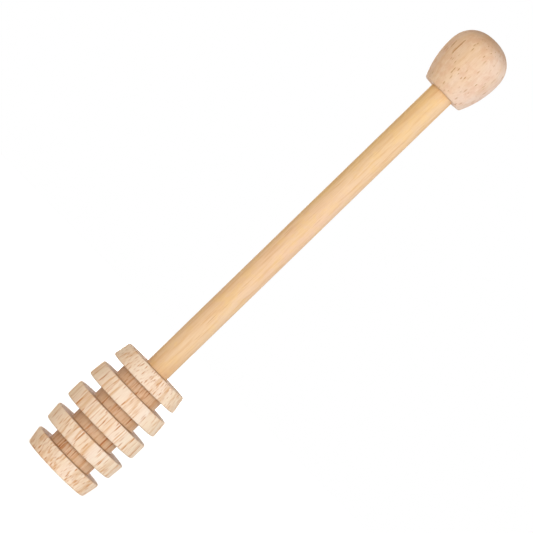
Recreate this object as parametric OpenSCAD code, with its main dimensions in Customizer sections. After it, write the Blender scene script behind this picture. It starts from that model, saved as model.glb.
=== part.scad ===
// Wooden honey dipper: a turned, grooved head and a turned knob, glued on the ends of a plain dowel.
// Sizes are in millimetres. Z = 0 is the flat end face of the head, and +Z runs along the common
// axis of the three pieces, through the handle, to the top of the knob.

/* [Head] */
// Number of discs that the grooves leave on the head
disc_count = 5; // [3:1:7]
// Thickness of each disc
disc_t = 4.96; // [3:0.02:7]
// Width of each groove between two discs
groove_w = 3; // [1.5:0.1:5]
// Diameter across the widest part of the head
head_d = 24; // [20:0.1:34]
// Radius of the barrel curve that the rims of all the discs follow
barrel_r = 90; // [60:1:400]
// Diameter of the core at the bottom of the grooves
core_d = 14; // [10:0.1:18]
// Rounding of the edges of each disc
rim_round = 0.45; // [0.1:0.05:1.2]

/* [Handle] */
// Diameter of the dowel
handle_d = 7.1; // [5:0.1:9]
// Length of the dowel in view between the head and the knob
handle_show = 103.9; // [60:0.1:220]
// Chamfer at each end of the dowel
dowel_chamfer = 0.6; // [0.2:0.1:1.5]

/* [Knob] */
// Height of the knob, from its flat base to the top of its dome
knob_h = 19.5; // [18:0.1:32]
// Diameter of the knob at its widest
knob_d = 17.4; // [14:0.1:28]
// Diameter of the flat base, around the handle
knob_base_d = 12.3; // [10:0.1:16]
// Height of the widest place above the base
knob_wide_z = 11.1; // [8:0.1:16]
// Rounding of the edge of the flat base
knob_round = 0.5; // [0.1:0.05:1]
// Squareness of the dome, where 2 is an ellipse
dome_power = 2.3; // [2:0.05:3.5]

/* [Glued sockets] */
// Depth of the dowel in the head
head_socket = 12; // [6:0.5:28]
// Depth of the dowel in the knob
knob_socket = 11; // [5:0.5:13]
// Clearance all round the dowel, which the glue fills
glue_gap = 0.05; // [0.01:0.01:0.1]
// Diameter of the dimple that the drill's centre point leaves in the bottom of a socket
spur_d = 1.6; // [0.8:0.1:3]
// Depth of that dimple
spur_depth = 0.8; // [0.3:0.1:2]

/* [Colours] */
// Colour of the head, a pale wood with open pores
head_color = "#ecd2b4";
// Colour of the handle, a yellower, finer wood
handle_color = "#eecb9c";
// Colour of the knob, the head's wood with its end grain showing
knob_color = "#e8cba7";

/* [Hidden] */

head_h = disc_count * disc_t + (disc_count - 1) * groove_w;
knob_z = head_h + handle_show;
dowel_len = head_socket + handle_show + knob_socket;
socket_d = handle_d + 2 * glue_gap;
dome_h = knob_h - knob_wide_z;

// The knob's lower side is an arc, upright at the widest place, that ends on the flat base.
knob_flare = (knob_d - knob_base_d) / 2;
knob_side_r = (pow(knob_flare, 2) + pow(knob_wide_z, 2)) / (2 * knob_flare);

// Straight steps along a rounded edge, along a curved side and along the dome
edge_steps = 6;
side_steps = 8;
dome_steps = 24;
// A cut starts this far outside the face that it opens.
cut_over = 1;
$fn = 96;

// A bulging side is an arc of radius bulge_r about the point [bulge_x, bulge_z].
// edge_centre is the centre of the rounding where that side meets a flat face, with the
// rounding's centre at height z, and edge_lean is the direction in which the two arcs touch.
function edge_lean(bulge_z, bulge_r, round_r, z) = asin((z - bulge_z) / (bulge_r - round_r));
function edge_centre(bulge_x, bulge_z, bulge_r, round_r, z) =
    bulge_x + (bulge_r - round_r) * cos(edge_lean(bulge_z, bulge_r, round_r, z));

// Points of an arc from angle a0 to angle a1
function arc(x, z, r, a0, a1, steps) =
    [for (i = [0:steps]) let (a = a0 + (a1 - a0) * i / steps) [x + r * cos(a), z + r * sin(a)]];

// The rim of one disc, from its lower face at height z0 to its upper face: a rounded edge,
// the piece of the barrel curve that belongs to this disc, and another rounded edge.
function disc_rim(z0) =
    let (
        barrel_x = head_d / 2 - barrel_r,
        barrel_z = head_h / 2,
        low = z0 + rim_round,
        high = z0 + disc_t - rim_round,
        low_lean = edge_lean(barrel_z, barrel_r, rim_round, low),
        high_lean = edge_lean(barrel_z, barrel_r, rim_round, high),
        low_x = edge_centre(barrel_x, barrel_z, barrel_r, rim_round, low),
        high_x = edge_centre(barrel_x, barrel_z, barrel_r, rim_round, high),
        side = arc(barrel_x, barrel_z, barrel_r, low_lean, high_lean, side_steps)
    )
    concat(
        arc(low_x, low, rim_round, -90, low_lean, edge_steps),
        [for (i = [1:side_steps - 1]) side[i]],
        arc(high_x, high, rim_round, high_lean, 90, edge_steps)
    );

// The whole outline of the head: the rims of the discs, joined by the core between them
function head_outline() = concat(
    [[0, 0]],
    [for (k = [0:disc_count - 1])
        let (z0 = k * (disc_t + groove_w))
        each concat(
            k > 0 ? [[core_d / 2, z0]] : [],
            disc_rim(z0),
            k < disc_count - 1 ? [[core_d / 2, z0 + disc_t]] : []
        )],
    [[0, head_h]]
);

// The outline of the knob: flat base, rounded edge, flaring side and squarish dome
function knob_outline() =
    let (
        side_x = knob_d / 2 - knob_side_r,
        lean = edge_lean(knob_wide_z, knob_side_r, knob_round, knob_round),
        edge_x = edge_centre(side_x, knob_wide_z, knob_side_r, knob_round, knob_round),
        side = arc(side_x, knob_wide_z, knob_side_r, lean, 0, side_steps)
    )
    concat(
        [[0, 0]],
        arc(edge_x, knob_round, knob_round, -90, lean, edge_steps),
        [for (i = [1:side_steps]) side[i]],
        [for (i = [1:dome_steps])
            let (a = 90 * i / dome_steps)
            [
                knob_d / 2 * pow(cos(a), 2 / dome_power),
                knob_wide_z + dome_h * pow(sin(a), 2 / dome_power)
            ]]
    );

// A blind socket that opens downwards at height 0, with the drill's dimple in its flat bottom
module socket(depth) {
    rotate_extrude()
        polygon([
            [0, -cut_over],
            [socket_d / 2, -cut_over],
            [socket_d / 2, depth],
            [spur_d / 2, depth],
            [0, depth + spur_depth]
        ]);
}

// The grooved head, turned from one piece, with the handle's socket in its upper face
module dipper_head() {
    color(head_color)
        difference() {
            rotate_extrude()
                polygon(head_outline());
            translate([0, 0, head_h])
                mirror([0, 0, 1])
                    socket(head_socket);
        }
}

// The dowel, chamfered at both ends, which seats on the bottoms of the two sockets
module handle() {
    color(handle_color)
        translate([0, 0, head_h - head_socket])
            rotate_extrude()
                polygon([
                    [0, 0],
                    [handle_d / 2 - dowel_chamfer, 0],
                    [handle_d / 2, dowel_chamfer],
                    [handle_d / 2, dowel_len - dowel_chamfer],
                    [handle_d / 2 - dowel_chamfer, dowel_len],
                    [0, dowel_len]
                ]);
}

// The knob, turned from one piece, with the handle's socket in its flat base
module knob() {
    color(knob_color)
        translate([0, 0, knob_z])
            difference() {
                rotate_extrude()
                    polygon(knob_outline());
                socket(knob_socket);
            }
}

dipper_head();
handle();
knob();
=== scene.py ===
import itertools
import math

import bpy
import numpy as np
from mathutils import Matrix, Vector


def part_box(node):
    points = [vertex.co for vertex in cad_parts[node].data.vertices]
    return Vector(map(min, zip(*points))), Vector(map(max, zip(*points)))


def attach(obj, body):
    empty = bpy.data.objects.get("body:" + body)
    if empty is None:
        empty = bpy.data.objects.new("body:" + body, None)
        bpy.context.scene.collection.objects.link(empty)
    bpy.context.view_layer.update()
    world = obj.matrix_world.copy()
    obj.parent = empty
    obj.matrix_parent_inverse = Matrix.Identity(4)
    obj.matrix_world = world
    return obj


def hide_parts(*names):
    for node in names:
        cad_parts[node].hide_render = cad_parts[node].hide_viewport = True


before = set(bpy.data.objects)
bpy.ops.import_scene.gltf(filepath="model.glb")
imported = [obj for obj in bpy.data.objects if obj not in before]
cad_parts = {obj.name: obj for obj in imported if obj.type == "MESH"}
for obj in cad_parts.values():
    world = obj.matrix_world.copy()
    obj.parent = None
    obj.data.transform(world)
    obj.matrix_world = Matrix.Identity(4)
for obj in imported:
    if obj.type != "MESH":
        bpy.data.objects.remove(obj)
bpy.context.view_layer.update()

# Every length is in metres, and MM lets it be written in millimetres.
MM = 0.001

# Sizes that come from the frame
head_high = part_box("dipper_head")[1]
dowel_low, dowel_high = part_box("handle")
knob_low, knob_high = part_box("knob")
HEAD_H = head_high[2]
HEAD_R = head_high[0]
DOWEL_R = dowel_high[0]
DOWEL_Z = dowel_low[2]
DOWEL_TOP = dowel_high[2]
KNOB_R = knob_high[0]
KNOB_Z = knob_low[2]
KNOB_H = knob_high[2] - KNOB_Z

# Sizes of the turned outlines
DISC_COUNT = 5
GROOVE_W = 3.0 * MM
DISC_T = (HEAD_H - (DISC_COUNT - 1) * GROOVE_W) / DISC_COUNT
BARREL_R = 90.0 * MM
CORE_R = 7.0 * MM
RIM_ROUND = 0.45 * MM
KNOB_BASE_R = 6.15 * MM
KNOB_WIDE_Z = 11.1 * MM
KNOB_ROUND = 0.5 * MM
DOME_POWER = 2.3
DOWEL_CHAMFER = 0.6 * MM
GLUE_GAP = 0.05 * MM
SOCKET_R = DOWEL_R + GLUE_GAP

# Mesh faces round each piece, and steps along the stretches of the outlines
HEAD_SEGMENTS = 600
KNOB_SEGMENTS = 480
DOWEL_SEGMENTS = 192
FLAT_STEPS = 4
SOCKET_STEPS = 2
RIM_EDGE_STEPS = 4
RIM_SIDE_STEPS = 9
KNOB_EDGE_STEPS = 5
KNOB_SIDE_STEPS = 34
DOME_STEPS = 48
DOWEL_STEPS = 220

# The camera stands square to the dipper's axis, level with AIM and DISTANCE away from it. It is
# rolled, so that the picture's right leans away from the axis by TILT.
AIM = Vector((0.44 * MM, 0.0, 76.3 * MM))
DISTANCE = 951.5 * MM
TILT = math.radians(44.15)
LENS = 245.85
SENSOR = 36.0

# A pore's size and depth are shares of what its settings say, from the least up by the spread.
PORE_SIZE_LEAST = 0.55
PORE_SIZE_SPREAD = 0.75
PORE_DEPTH_LEAST = 0.45
PORE_DEPTH_SPREAD = 0.55
# Share of a piece's pores that its quiet stretches keep
QUIET_SHARE = 0.3
# The head's busy ends begin at BUSY_FROM / BUSY_RISE of the way from its middle to an end.
BUSY_RISE = 1.6
BUSY_FROM = 0.35
# The knob's busy band has its middle BAND_Z above the base. It is at its fullest up to BAND_SPARE - 1
# of BAND_FADE from there, and has thinned out one BAND_FADE further.
BAND_Z = 9.0 * MM
BAND_FADE = 4.0 * MM
BAND_SPARE = 1.5

# Pores and turning marks fade in where a face looks sideways by SIDE_START and are whole SIDE_FADE
# after that. They stay this far clear of the socket.
SIDE_START = 0.25
SIDE_FADE = 0.35
SOCKET_CLEAR = 0.4 * MM
# The ridges that a tool leaves come and go along the axis, and the piece is out of round by a wave
# that runs along it too. Waves are in radians for each metre.
RIDGE_FADE_WAVE = 911.0
RIDGE_FADE_SHIFT = 1.3
WOBBLE_WAVE = 240.0

# The wave texture draws one ring for each metre at this scale.
RING_SCALE = 0.314
# The painted shade of the grooves fades out over this distance from the core.
GROOVE_SHADE_FADE = 3.0 * MM
# A face that looks this much along the axis has the whole tint of end grain, which is partly its own
# darker tone and partly painted shade.
END_FULL = 0.97
# A fine pore is at its darkest up to this share of its radius.
FINE_PORE_CORE = 0.4
# The wood is dull, and its fibres make it duller and uneven.
WOOD_SPECULAR = 0.2
WOOD_ROUGHNESS = 0.56
FIBRE_ROUGHNESS = 0.14
FIBRE_HEIGHT = 0.35
BUMP_STRENGTH = 0.25
BUMP_DEPTH = 0.06 * MM

FLOOR_HALF = 1.5
FLOOR_GLOW = 0.58
SURROUND_BELOW = 1.08
SURROUND_ABOVE = 0.28
SOFTBOX_WIDTH = 0.5
SOFTBOX_HEIGHT = 0.3
SOFTBOX_REACH = 0.9
SOFTBOX_Z = 0.09
SOFTBOX_AIM_Z = 0.08

# Usual multipliers and shifts that spread the bits of a whole number
CELL_FACTORS = (73856093, 19349663, 83492791)
SALT_FACTOR = 2654435761
MIXING = ((13, 0x9E3779B97F4A7C15), (29, 0xBF58476D1CE4E5B9))
LAST_SHIFT = 32
HASH_TOP = 0xFFFFFF
# Added to the numbers of the cells, so that none is below zero
CELL_SHIFT = 1000


def place_object(name, data):
    """A new object in the scene"""
    obj = bpy.data.objects.new(name, data)
    bpy.context.scene.collection.objects.link(obj)
    return obj


def add_camera():
    """The camera at the photograph's viewing angle"""
    data = bpy.data.cameras.new("photo_camera")
    data.lens = LENS
    data.sensor_width = SENSOR
    camera = place_object("photo_camera", data)
    right = Vector((math.sin(TILT), 0.0, math.cos(TILT)))
    back = Vector((0.0, -1.0, 0.0))
    up = back.cross(right)
    turn = Matrix((right, up, back)).transposed().to_4x4()
    camera.matrix_world = Matrix.Translation(AIM + back * DISTANCE) @ turn
    bpy.context.scene.camera = camera


def arc(x, z, r, a0, a1, steps):
    """Points of an arc from angle a0 to angle a1, in degrees"""
    angles = np.radians(np.linspace(a0, a1, steps + 1))
    return [(x + r * math.cos(a), z + r * math.sin(a)) for a in angles]


def line(start, end, steps):
    """Points of a straight stretch, with both ends"""
    (x0, z0), (x1, z1) = start, end
    return [(x0 + (x1 - x0) * i / steps, z0 + (z1 - z0) * i / steps) for i in range(steps + 1)]


def rounded_edge(z, bulge_x, bulge_z, bulge_r, round_r):
    """Where the rounding of an edge, with its centre at height z, touches a bulging side, as the lean
    above level in degrees, and how far from the axis the centre of that rounding lies"""
    reach = bulge_r - round_r
    lean = math.degrees(math.asin((z - bulge_z) / reach))
    return lean, bulge_x + reach * math.cos(math.radians(lean))


def socket_outline(mouth_z, bottom_z):
    """The dowel's blind socket, from its mouth to the centre of its bottom"""
    return line((SOCKET_R, mouth_z), (SOCKET_R, bottom_z), SOCKET_STEPS) + [(0.0, bottom_z)]


def head_outline():
    """The head from the centre of its end face, over the discs, to the bottom of the socket"""
    barrel = (HEAD_R - BARREL_R, HEAD_H / 2, BARREL_R)
    points = [(0.0, 0.0)]
    for k in range(DISC_COUNT):
        z0 = k * (DISC_T + GROOVE_W)
        z1 = z0 + DISC_T
        low = z0 + RIM_ROUND
        high = z1 - RIM_ROUND
        low_lean, low_x = rounded_edge(low, *barrel, RIM_ROUND)
        high_lean, high_x = rounded_edge(high, *barrel, RIM_ROUND)
        start = points[-1] if k == 0 else (CORE_R, z0)
        end_r = SOCKET_R if k == DISC_COUNT - 1 else CORE_R
        if k > 0:
            points += line(points[-1], start, FLAT_STEPS)[1:]
        points += line(start, (low_x, z0), FLAT_STEPS)[1:]
        points += arc(low_x, low, RIM_ROUND, -90, low_lean, RIM_EDGE_STEPS)[1:]
        points += arc(*barrel, low_lean, high_lean, RIM_SIDE_STEPS)[1:]
        points += arc(high_x, high, RIM_ROUND, high_lean, 90, RIM_EDGE_STEPS)[1:]
        points += line((high_x, z1), (end_r, z1), FLAT_STEPS)[1:]
    return points + socket_outline(HEAD_H, DOWEL_Z)[1:]


def knob_outline():
    """The knob from the bottom of its socket, over the flat base and side, to the top of the dome"""
    flare = KNOB_R - KNOB_BASE_R
    side_r = (flare ** 2 + KNOB_WIDE_Z ** 2) / (2 * flare)
    side = (KNOB_R - side_r, KNOB_WIDE_Z, side_r)
    lean, edge_x = rounded_edge(KNOB_ROUND, *side, KNOB_ROUND)
    points = socket_outline(0.0, DOWEL_TOP - KNOB_Z)[::-1]
    points += line((SOCKET_R, 0.0), (edge_x, 0.0), FLAT_STEPS)[1:]
    points += arc(edge_x, KNOB_ROUND, KNOB_ROUND, -90, lean, KNOB_EDGE_STEPS)[1:]
    points += arc(*side, lean, 0, KNOB_SIDE_STEPS)[1:]
    dome_h = KNOB_H - KNOB_WIDE_Z
    for i in range(1, DOME_STEPS):
        a = math.pi / 2 * i / DOME_STEPS
        x = KNOB_R * math.cos(a) ** (2 / DOME_POWER)
        points.append((x, KNOB_WIDE_Z + dome_h * math.sin(a) ** (2 / DOME_POWER)))
    points.append((0.0, KNOB_WIDE_Z + dome_h))
    return [(x, z + KNOB_Z) for x, z in points]


def dowel_outline():
    """The dowel with chamfered ends"""
    end_r = DOWEL_R - DOWEL_CHAMFER
    low = (DOWEL_R, DOWEL_Z + DOWEL_CHAMFER)
    high = (DOWEL_R, DOWEL_TOP - DOWEL_CHAMFER)
    return ([(0.0, DOWEL_Z), (end_r, DOWEL_Z)] + line(low, high, DOWEL_STEPS)
            + [(end_r, DOWEL_TOP), (0.0, DOWEL_TOP)])


def lathe(name, outline, segments):
    """A closed turned mesh of quads, with a fan of triangles at each end that lies on the axis"""
    outline = np.array(outline)
    rings = outline[1:-1]
    angles = np.linspace(0.0, 2 * math.pi, segments, endpoint=False)
    x = rings[:, 0][:, None] * np.cos(angles)[None, :]
    y = rings[:, 0][:, None] * np.sin(angles)[None, :]
    z = np.repeat(rings[:, 1][:, None], segments, axis=1)
    verts = np.stack([x, y, z], axis=-1).reshape(-1, 3)
    first = len(verts)
    verts = np.vstack([verts, [0.0, 0.0, outline[0][1]], [0.0, 0.0, outline[-1][1]]])
    faces = []
    for r in range(len(rings) - 1):
        a = r * segments
        b = a + segments
        for s in range(segments):
            t = (s + 1) % segments
            faces.append((a + s, a + t, b + t, b + s))
    last_ring = (len(rings) - 1) * segments
    for s in range(segments):
        t = (s + 1) % segments
        faces.append((first, t, s))
        faces.append((first + 1, last_ring + s, last_ring + t))
    mesh = bpy.data.meshes.new(name)
    mesh.from_pydata(verts.tolist(), [], faces)
    mesh.polygons.foreach_set("use_smooth", [True] * len(faces))
    mesh.update()
    return place_object(name, mesh)


def hashed(cells, salt):
    """A repeatable number from 0 to 1 for each cell of a grid, in place of a random one"""
    with np.errstate(over="ignore"):
        h = np.uint64(salt * SALT_FACTOR)
        for axis, factor in enumerate(CELL_FACTORS):
            h = h ^ (cells[:, axis] + CELL_SHIFT).astype(np.uint64) * np.uint64(factor)
        for shift, factor in MIXING:
            h ^= h >> np.uint64(shift)
            h *= np.uint64(factor)
        h ^= h >> np.uint64(LAST_SHIFT)
    return (h & np.uint64(HASH_TOP)).astype(float) / HASH_TOP


def hollow(across, along):
    """The depth of a long thin hollow, from 1 in its middle to 0 at a distance of 1 each way"""
    return np.clip(1.0 - across ** 2 - along ** 4, 0.0, 1.0)


def pore_field(points, cell, share, radius, half_length, salt, lean, busy=None):
    """How deep each point lies in the wood's long thin pores, from 0 to 1. The pores run along Z with
    a small lean, one or none in each cell, and share is the part of the cells that hold one. busy
    gives a share of that share at each pore's height."""
    leaned = points.copy()
    leaned[:, 0] += points[:, 2] * lean[0]
    leaned[:, 1] += points[:, 2] * lean[1]
    base = np.floor(leaned / np.array(cell)).astype(np.int64)
    best = np.zeros(len(points))
    for step in itertools.product((-1, 0, 1), repeat=3):
        cells = base + np.array(step)
        draws = [hashed(cells, salt + n) for n in range(6)]
        x, y, z = [(cells[:, axis] + draws[axis]) * cell[axis] for axis in range(3)]
        size = PORE_SIZE_LEAST + PORE_SIZE_SPREAD * draws[3]
        across = np.hypot(leaned[:, 0] - x, leaned[:, 1] - y) / (radius * size)
        along = np.abs(leaned[:, 2] - z) / (half_length * size)
        here = share * busy(z) if busy else share
        depth = hollow(across, along) * (draws[4] < here)
        best = np.maximum(best, depth * (PORE_DEPTH_LEAST + PORE_DEPTH_SPREAD * draws[5]))
    return best


def crack_field(points, x, low, high, width):
    """How deep each point lies in one thin drying crack on the camera's side. It follows the grain,
    so it lies in the upright plane at x, between two heights."""
    across = (points[:, 0] - x) / width
    along = (points[:, 2] - (low + high) / 2) / ((high - low) / 2)
    return hollow(across, along) * (points[:, 1] < 0)


def carve(obj, pores, depth, ridge, ridge_pitch, wobble, salt, crack=None):
    """Cuts pores into a mesh, adds faint turning marks and stores how much each vertex is pore"""
    mesh = obj.data
    count = len(mesh.vertices)
    co = np.empty(count * 3)
    mesh.vertices.foreach_get("co", co)
    co = co.reshape(-1, 3)
    normals = np.empty(count * 3)
    mesh.vertex_normals.foreach_get("vector", normals)
    normals = normals.reshape(-1, 3)

    sideways = np.hypot(normals[:, 0], normals[:, 1])
    side = np.clip((sideways - SIDE_START) / SIDE_FADE, 0.0, 1.0)
    side *= np.hypot(co[:, 0], co[:, 1]) > SOCKET_R + SOCKET_CLEAR
    mask = np.zeros(count)
    for settings in pores:
        mask = np.maximum(mask, pore_field(co, **settings))
    mask *= side
    if crack:
        mask = np.maximum(mask, crack_field(co, **crack))

    z = co[:, 2]
    angle = np.arctan2(co[:, 1], co[:, 0])
    marks = ridge * np.sin(z * 2 * math.pi / ridge_pitch) * np.sin(z * RIDGE_FADE_WAVE + RIDGE_FADE_SHIFT)
    marks = marks + wobble * np.sin(2 * angle + salt) * np.sin(z * WOBBLE_WAVE + salt)
    moved = co - normals * (mask * depth + np.clip(marks, 0.0, 1.0) * side)[:, None]
    mesh.vertices.foreach_set("co", moved.ravel())
    layer = mesh.attributes.new("pore", "FLOAT", "POINT")
    layer.data.foreach_set("value", mask)
    mesh.update()


class Nodes:
    """Short calls to build the node tree of a material or a world"""

    def __init__(self, owner):
        self.owner = owner
        owner.use_nodes = True
        self.tree = owner.node_tree
        self.tree.nodes.clear()

    def add(self, kind, **settings):
        node = self.tree.nodes.new(kind)
        for key, value in settings.items():
            setattr(node, key, value)
        return node

    def join(self, source, target):
        self.tree.links.new(source, target)

    def math(self, operation, a, b=None, c=None, clamp=False):
        node = self.add("ShaderNodeMath", operation=operation, use_clamp=clamp)
        for socket, value in zip(node.inputs, (a, b, c)):
            if value is None:
                continue
            if isinstance(value, (int, float)):
                socket.default_value = value
            else:
                self.join(value, socket)
        return node.outputs[0]

    def stretched(self, source, scale, turn=(0.0, 0.0, 0.0), shift=(0.0, 0.0, 0.0)):
        node = self.add("ShaderNodeMapping")
        node.inputs["Scale"].default_value = scale
        node.inputs["Rotation"].default_value = turn
        node.inputs["Location"].default_value = shift
        self.join(source, node.inputs["Vector"])
        return node.outputs[0]

    def noise(self, source, detail, roughness):
        node = self.add("ShaderNodeTexNoise")
        node.inputs["Scale"].default_value = 1.0
        node.inputs["Detail"].default_value = detail
        node.inputs["Roughness"].default_value = roughness
        self.join(source, node.inputs["Vector"])
        return node.outputs["Fac"]

    def ramp(self, value, low, high):
        """0 below low, 1 above high"""
        node = self.add("ShaderNodeMapRange", interpolation_type="SMOOTHSTEP")
        node.inputs["From Min"].default_value = low
        node.inputs["From Max"].default_value = high
        self.join(value, node.inputs["Value"])
        return node.outputs[0]

    def mix(self, factor, a, b, mode="MIX"):
        node = self.add("ShaderNodeMix", data_type="RGBA", blend_type=mode)
        for socket, value in ((node.inputs[0], factor), (node.inputs[6], a), (node.inputs[7], b)):
            if isinstance(value, (float, tuple)):
                socket.default_value = value
            else:
                self.join(value, socket)
        return node.outputs[2]

    def seen(self):
        """1 for the rays by which the camera sees this, also in metal or glass, and 0 for the others"""
        path = self.add("ShaderNodeLightPath")
        either = self.math("MAXIMUM", path.outputs["Is Camera Ray"], path.outputs["Is Glossy Ray"])
        return self.math("MAXIMUM", either, path.outputs["Is Transmission Ray"])


def srgb(red, green, blue):
    """A colour written as the screen shows it, from 0 to 255, as Blender's linear one"""
    def linear(c):
        c /= 255.0
        return c / 12.92 if c <= 0.04045 else ((c + 0.055) / 1.055) ** 2.4
    return (linear(red), linear(green), linear(blue), 1.0)


class Wood(Nodes):
    """Sanded bare wood as one solid block, whose colour is built up layer by layer. A scale is in
    waves for each metre, twice across the grain and then along it."""

    def __init__(self, name, pale, warm, pink, dark, grain_turn):
        super().__init__(bpy.data.materials.new(name))
        self.dark = dark
        self.coords = self.add("ShaderNodeTexCoord").outputs["Object"]
        self.grain = self.stretched(self.coords, (1.0, 1.0, 1.0), grain_turn)
        self.colour = self.mix(self.patches((150.0, 150.0, 14.0), (0.36, 0.66)), pale, warm)
        blush = self.patches((70.0, 70.0, 9.0), (0.42, 0.7), shift=(3.0, 7.0, 1.0))
        self.lay(pink, blush, 0.6)

    def patches(self, scale, between, detail=2.0, roughness=0.55, shift=(0.0, 0.0, 0.0), source=None):
        """Noise that goes from 0 to 1 between two of its values"""
        place = self.stretched(self.grain if source is None else source, scale, shift=shift)
        return self.ramp(self.noise(place, detail, roughness), *between)

    def lay(self, colour, where, strength):
        """Lays a colour over the wood"""
        self.colour = self.mix(self.math("MULTIPLY", where, strength), self.colour, colour)

    def tint(self, tint, where):
        """Multiplies the wood's colour by a tint"""
        self.colour = self.mix(where, self.colour, self.mix(1.0, self.colour, tint, "MULTIPLY"))

    def add_rings(self, pitch, strength, pith):
        """Growth rings round a pith line that runs along the grain"""
        rings = self.add("ShaderNodeTexWave", wave_type="RINGS", rings_direction="Z", wave_profile="SAW")
        rings.inputs["Scale"].default_value = RING_SCALE / pitch
        rings.inputs["Distortion"].default_value = 2.2
        rings.inputs["Detail"].default_value = 2.0
        rings.inputs["Detail Scale"].default_value = 0.35
        self.join(self.stretched(self.grain, (1.0, 1.0, 0.35), shift=pith), rings.inputs["Vector"])
        self.lay(self.dark, rings.outputs["Fac"], strength)

    def add_streaks(self, colour, scale, strength):
        """Broad lines along the grain"""
        self.lay(colour, self.patches(scale, (0.49, 0.66), detail=3.0, roughness=0.6), strength)

    def add_threads(self, colour, strength):
        """Thin lines along the grain"""
        scale = (2100.0, 2100.0, 95.0)
        threads = self.patches(scale, (0.56, 0.66), roughness=0.5, shift=(2.0, 9.0, 4.0))
        self.lay(colour, threads, strength)

    def add_mottle(self, colour, strength):
        """Patches that are nearly as wide as they are long"""
        mottle = self.patches((420.0, 420.0, 300.0), (0.44, 0.66), detail=3.0, roughness=0.65,
                              shift=(1.0, 6.0, 2.0), source=self.coords)
        self.lay(colour, mottle, strength)

    def add_fibres(self):
        """Fine fibres, which also make the surface uneven"""
        self.fibres = self.noise(self.stretched(self.grain, (3800.0, 3800.0, 240.0)), 2.0, 0.6)
        self.lay(self.dark, self.ramp(self.fibres, 0.35, 0.75), 0.12)

    def add_fine_pores(self, scale, size):
        """Fine pores that show as dashes along the grain and as dots on end grain"""
        cells = self.add("ShaderNodeTexVoronoi", feature="F1")
        cells.inputs["Scale"].default_value = 1.0
        self.join(self.stretched(self.grain, scale), cells.inputs["Vector"])
        distance = cells.outputs["Distance"]
        inside = self.math("SUBTRACT", 1.0, self.ramp(distance, size * FINE_PORE_CORE, size))
        chosen = self.patches((420.0, 420.0, 60.0), (0.44, 0.62), detail=1.0, shift=(5.0, 1.0, 2.0))
        self.fine_pores = self.math("MULTIPLY", inside, chosen)
        self.lay(self.dark, self.fine_pores, 0.5)

    def darken_carving_with_shade(self):
        """Darkens what is cut into the mesh, the pores and the crack: partly their own darker tone and
        partly painted shade in their hollows
        """
        pore = self.add("ShaderNodeAttribute", attribute_name="pore").outputs["Fac"]
        self.lay(self.dark, self.ramp(pore, 0.02, 0.6), 0.9)

    def paint_side_light_and_shade(self, half_width, left, right):
        """Paints light and shade across the piece: painted shade on its side at low X and painted light
        on its side at high X
        """
        place = self.add("ShaderNodeSeparateXYZ")
        self.join(self.coords, place.inputs[0])
        across = self.math("MULTIPLY_ADD", place.outputs["X"], 0.5 / half_width, 0.5, clamp=True)
        self.colour = self.mix(1.0, self.colour, self.mix(across, left, right), "MULTIPLY")

    def paint_groove_shade(self, tint):
        """Paints shade on the core and the inner part of the grooves"""
        flat = self.add("ShaderNodeVectorMath", operation="MULTIPLY")
        flat.inputs[1].default_value = (1.0, 1.0, 0.0)
        self.join(self.coords, flat.inputs[0])
        radius = self.add("ShaderNodeVectorMath", operation="LENGTH")
        self.join(flat.outputs[0], radius.inputs[0])
        away = self.ramp(radius.outputs["Value"], CORE_R, CORE_R + GROOVE_SHADE_FADE)
        self.tint(tint, self.math("SUBTRACT", 1.0, away))

    def tint_end_grain_and_shade(self, tint, start, both):
        """Tints end grain with its own darker tone and with painted shade, from faces that look along the
        axis by start, upward only or both ways
        """
        facing = self.add("ShaderNodeSeparateXYZ")
        self.join(self.add("ShaderNodeNewGeometry").outputs["Normal"], facing.inputs[0])
        along = self.math("ABSOLUTE", facing.outputs["Z"]) if both else facing.outputs["Z"]
        self.tint(tint, self.ramp(along, start, END_FULL))

    def finish(self):
        """The finished material, dull and a little uneven"""
        shader = self.add("ShaderNodeBsdfPrincipled")
        shader.inputs["Specular IOR Level"].default_value = WOOD_SPECULAR
        self.join(self.colour, shader.inputs["Base Color"])
        duller = self.math("MULTIPLY", self.fibres, FIBRE_ROUGHNESS)
        roughness = self.math("ADD", duller, WOOD_ROUGHNESS)
        self.join(roughness, shader.inputs["Roughness"])
        raised = self.math("MULTIPLY", self.fibres, FIBRE_HEIGHT)
        height = self.math("SUBTRACT", raised, self.fine_pores)
        bump = self.add("ShaderNodeBump")
        bump.inputs["Strength"].default_value = BUMP_STRENGTH
        bump.inputs["Distance"].default_value = BUMP_DEPTH
        self.join(height, bump.inputs["Height"])
        self.join(bump.outputs[0], shader.inputs["Normal"])
        output = self.add("ShaderNodeOutputMaterial")
        self.join(shader.outputs[0], output.inputs["Surface"])
        return self.owner


def dress(obj, material):
    """Gives a piece its wood and its place on the body"""
    obj.data.materials.append(material)
    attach(obj, "root")


def busy_ends(z):
    """The slanting sides near the head's ends cut across more pores than its middle"""
    from_middle = np.abs(2 * z / HEAD_H - 1)
    busy = np.clip(from_middle * BUSY_RISE - BUSY_FROM, 0.0, 1.0)
    return QUIET_SHARE + (1 - QUIET_SHARE) * busy


def busy_middle(z):
    """Most of the knob's open pores lie in a band at and below its widest place"""
    busy = np.clip(BAND_SPARE - np.abs(z - KNOB_Z - BAND_Z) / BAND_FADE, 0.0, 1.0)
    return QUIET_SHARE + (1 - QUIET_SHARE) * busy


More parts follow.
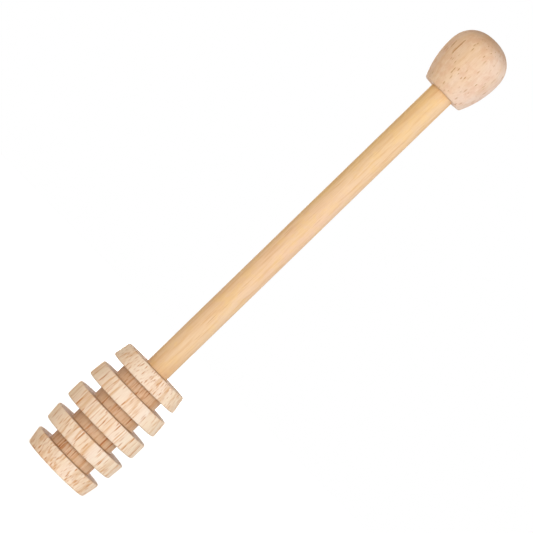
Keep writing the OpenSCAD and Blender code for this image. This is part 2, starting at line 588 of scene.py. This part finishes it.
def head_wood():
    """Pale wood with open pores and marked thin lines, with painted shade in its pores and grooves,
    darker end grain that carries painted shade, and painted light and shade on its sides
    """
    wood = Wood("open_pored_wood", pale=srgb(246, 229, 207), warm=srgb(243, 220, 190),
                pink=srgb(246, 222, 203), dark=srgb(194, 128, 72), grain_turn=(0.02, -0.03, 0.0))
    wood.add_rings(pitch=3.1 * MM, strength=0.08, pith=(0.021, 0.034, 0.0))
    wood.add_streaks(srgb(218, 174, 124), scale=(650.0, 650.0, 16.0), strength=0.6)
    wood.add_threads(srgb(216, 162, 110), strength=0.7)
    wood.add_fibres()
    wood.add_fine_pores(scale=(1250.0, 1250.0, 210.0), size=0.3)
    # The carved pores' own darker tone, with painted shade in their hollows
    wood.darken_carving_with_shade()
    # Painted shade on the head's side at low X and painted light on its side at high X
    wood.paint_side_light_and_shade(HEAD_R, left=(1.0, 0.92, 0.81, 1.0), right=(1.0, 1.05, 1.14, 1.0))
    # Painted shade on the core and in the grooves
    wood.paint_groove_shade((0.89, 0.78, 0.67, 1.0))
    # End grain darker in itself, with painted shade on the disc faces
    wood.tint_end_grain_and_shade((0.72, 0.63, 0.55, 1.0), start=0.7, both=True)
    return wood.finish()


def make_head():
    obj = lathe("grooved_head", head_outline(), HEAD_SEGMENTS)
    pores = [
        dict(cell=(0.54 * MM, 0.54 * MM, 3.4 * MM), share=1.0, radius=0.14 * MM, half_length=1.6 * MM,
             salt=11, lean=(0.05, 0.02), busy=busy_ends),
        dict(cell=(1.7 * MM, 1.7 * MM, 8.0 * MM), share=0.7, radius=0.23 * MM, half_length=3.2 * MM,
             salt=37, lean=(-0.03, 0.03)),
    ]
    carve(obj, pores, depth=0.09 * MM, ridge=0.012 * MM, ridge_pitch=0.7 * MM, wobble=0.02 * MM, salt=1)
    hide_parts("dipper_head")
    dress(obj, head_wood())


def knob_wood():
    """The head's kind of wood, a little darker and mottled, with end grain on the dome that is darker in
    itself and carries painted shade, painted shade in its pores and crack, and painted light and shade on
    its sides
    """
    wood = Wood("open_pored_knob_wood", pale=srgb(236, 214, 192), warm=srgb(234, 204, 168),
                pink=srgb(238, 206, 190), dark=srgb(184, 134, 82), grain_turn=(-0.03, 0.04, 0.0))
    wood.add_rings(pitch=3.6 * MM, strength=0.05, pith=(-0.017, 0.03, 0.01))
    wood.add_streaks(srgb(220, 184, 144), scale=(700.0, 700.0, 120.0), strength=0.35)
    wood.add_mottle(srgb(222, 178, 146), strength=0.5)
    wood.add_fibres()
    wood.add_fine_pores(scale=(1050.0, 1050.0, 230.0), size=0.3)
    # The carved pores' and the crack's own darker tone, with painted shade in their hollows
    wood.darken_carving_with_shade()
    # Painted shade on the knob's side at low X and painted light on its side at high X
    wood.paint_side_light_and_shade(KNOB_R, left=(0.94, 0.82, 0.7, 1.0), right=(1.0, 1.04, 1.1, 1.0))
    # End grain darker in itself, with painted shade on the dome's upward faces
    wood.tint_end_grain_and_shade((0.8, 0.73, 0.68, 1.0), start=0.35, both=False)
    return wood.finish()


def make_knob():
    obj = lathe("turned_knob", knob_outline(), KNOB_SEGMENTS)
    pores = [
        dict(cell=(0.7 * MM, 0.7 * MM, 3.0 * MM), share=0.8, radius=0.12 * MM, half_length=1.1 * MM,
             salt=51, lean=(0.06, -0.03), busy=busy_middle),
        dict(cell=(1.6 * MM, 1.6 * MM, 5.0 * MM), share=0.6, radius=0.17 * MM, half_length=1.5 * MM,
             salt=71, lean=(-0.03, 0.02), busy=busy_middle),
    ]
    crack = dict(x=-5.8 * MM, low=KNOB_Z + 8.6 * MM, high=KNOB_Z + 13.9 * MM, width=0.14 * MM)
    carve(obj, pores, depth=0.08 * MM, ridge=0.008 * MM, ridge_pitch=0.9 * MM, wobble=0.015 * MM, salt=2,
          crack=crack)
    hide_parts("knob")
    dress(obj, knob_wood())


def handle_wood():
    """Finer, yellower wood, whose grain is in the material alone, on a smooth mesh, with painted light
    and shade on its sides
    """
    wood = Wood("fine_grained_dowel_wood", pale=srgb(237, 207, 169), warm=srgb(234, 197, 147),
                pink=srgb(240, 198, 170), dark=srgb(196, 142, 92), grain_turn=(0.006, -0.009, 0.0))
    wood.add_rings(pitch=2.2 * MM, strength=0.1, pith=(0.012, -0.02, 0.0))
    wood.add_streaks(srgb(222, 176, 122), scale=(1100.0, 1100.0, 60.0), strength=0.45)
    wood.add_threads(srgb(214, 164, 112), strength=0.3)
    wood.add_mottle(srgb(240, 204, 142), strength=0.4)
    wood.add_fibres()
    wood.add_fine_pores(scale=(2300.0, 2300.0, 90.0), size=0.26)
    # Painted shade on the dowel's side at low X and painted light on its side at high X
    wood.paint_side_light_and_shade(DOWEL_R, left=(0.98, 0.92, 0.78, 1.0), right=(0.99, 0.99, 1.06, 1.0))
    return wood.finish()


def make_handle():
    obj = lathe("dowel_handle", dowel_outline(), DOWEL_SEGMENTS)
    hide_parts("handle")
    dress(obj, handle_wood())


def add_floor():
    """A pale floor that looks white where it is lit and keeps the object's shadow"""
    mesh = bpy.data.meshes.new("studio_floor")
    corners = [(-1, -1), (1, -1), (1, 1), (-1, 1)]
    mesh.from_pydata([(x * FLOOR_HALF, y * FLOOR_HALF, 0) for x, y in corners], [], [(0, 1, 2, 3)])
    floor = place_object("studio_floor", mesh)
    n = Nodes(bpy.data.materials.new("floor_white"))
    diffuse = n.add("ShaderNodeBsdfDiffuse")
    diffuse.inputs["Color"].default_value = (0.92, 0.92, 0.92, 1.0)
    glow = n.add("ShaderNodeEmission")
    n.join(n.math("MULTIPLY", n.seen(), FLOOR_GLOW), glow.inputs["Strength"])
    both = n.add("ShaderNodeAddShader")
    n.join(diffuse.outputs[0], both.inputs[0])
    n.join(glow.outputs[0], both.inputs[1])
    output = n.add("ShaderNodeOutputMaterial")
    n.join(both.outputs[0], output.inputs["Surface"])
    mesh.materials.append(n.owner)


def add_softbox(name, around, watts):
    """A wide lamp at the object's height, at an angle in degrees from the camera's side"""
    data = bpy.data.lights.new(name, "AREA")
    data.shape = "RECTANGLE"
    data.size = SOFTBOX_WIDTH
    data.size_y = SOFTBOX_HEIGHT
    data.energy = watts
    box = place_object(name, data)
    angle = math.radians(around)
    place = Vector((SOFTBOX_REACH * math.sin(angle), -SOFTBOX_REACH * math.cos(angle), SOFTBOX_Z))
    target = Vector((0.0, 0.0, SOFTBOX_AIM_Z))
    box.location = place
    box.rotation_euler = (target - place).to_track_quat("-Z", "Y").to_euler()


def add_surround():
    """A broad soft surround that dims towards the top and looks plain white"""
    world = bpy.data.worlds.new("studio")
    bpy.context.scene.world = world
    n = Nodes(world)
    place = n.add("ShaderNodeSeparateXYZ")
    n.join(n.add("ShaderNodeTexCoord").outputs["Generated"], place.inputs[0])
    fade = n.add("ShaderNodeMapRange")
    fade.inputs["From Min"].default_value = 0.0
    fade.inputs["From Max"].default_value = 1.0
    fade.inputs["To Min"].default_value = SURROUND_BELOW
    fade.inputs["To Max"].default_value = SURROUND_ABOVE
    n.join(place.outputs["Z"], fade.inputs["Value"])
    surround = n.add("ShaderNodeBackground")
    surround.inputs["Color"].default_value = (1.0, 0.985, 0.97, 1.0)
    n.join(fade.outputs[0], surround.inputs["Strength"])
    white = n.add("ShaderNodeBackground")
    white.inputs["Color"].default_value = (1.0, 1.0, 1.0, 1.0)
    white.inputs["Strength"].default_value = 1.0
    choose = n.add("ShaderNodeMixShader")
    n.join(n.seen(), choose.inputs[0])
    n.join(surround.outputs[0], choose.inputs[1])
    n.join(white.outputs[0], choose.inputs[2])
    output = n.add("ShaderNodeOutputWorld")
    n.join(choose.outputs[0], output.inputs["Surface"])


bpy.context.scene.view_settings.view_transform = "Standard"
add_camera()
make_head()
make_handle()
make_knob()
add_floor()
add_surround()
# The second softbox keeps the back from being dull, and the camera's side doesn't see its light.
add_softbox("softbox", around=18.0, watts=4.5)
add_softbox("back_softbox", around=188.0, watts=2.6)
